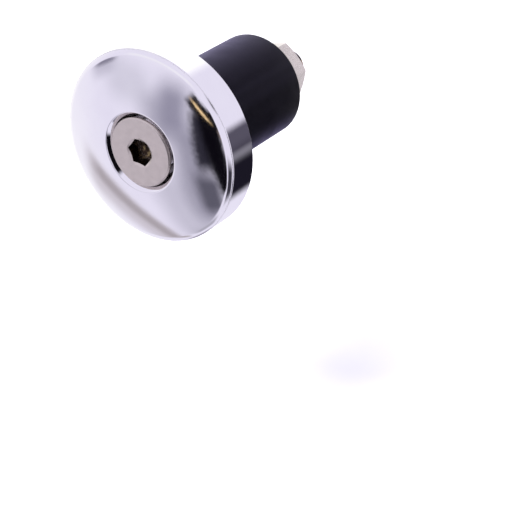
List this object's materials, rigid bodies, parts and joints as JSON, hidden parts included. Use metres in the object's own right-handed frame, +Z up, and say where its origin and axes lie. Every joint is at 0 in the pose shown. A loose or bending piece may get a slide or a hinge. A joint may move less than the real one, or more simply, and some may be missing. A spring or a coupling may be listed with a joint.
{
  "type": "bar end",
  "caption": "Domed, polished end cap for a handlebar, with a countersunk socket screw that draws a nut against a black rubber sleeve to swell it in the bar.",
  "frame": {"origin": "on the axis, at the seat: the plane of the cap's back face, which stops against the end of the bar", "axes": "+Y along the axis into the bar, so the domed face looks along -Y; +Z up in the pictured pose; the body is turned about Y"},
  "size_m": [0.032, 0.0437, 0.032],
  "materials": {
    "polished_aluminium": "mirror polished, turned",
    "plated_steel": "satin nickel plate",
    "black_rubber": "smooth, satin",
    "black_nylon": "matt"
  },
  "bodies": {
    "root": {"end_cap": "polished_aluminium", "socket_screw": "plated_steel", "rubber_sleeve": "black_rubber", "spacer_washer": "black_nylon", "flat_washer": "plated_steel", "hex_nut": "plated_steel"}
  },
  "joints": []
}
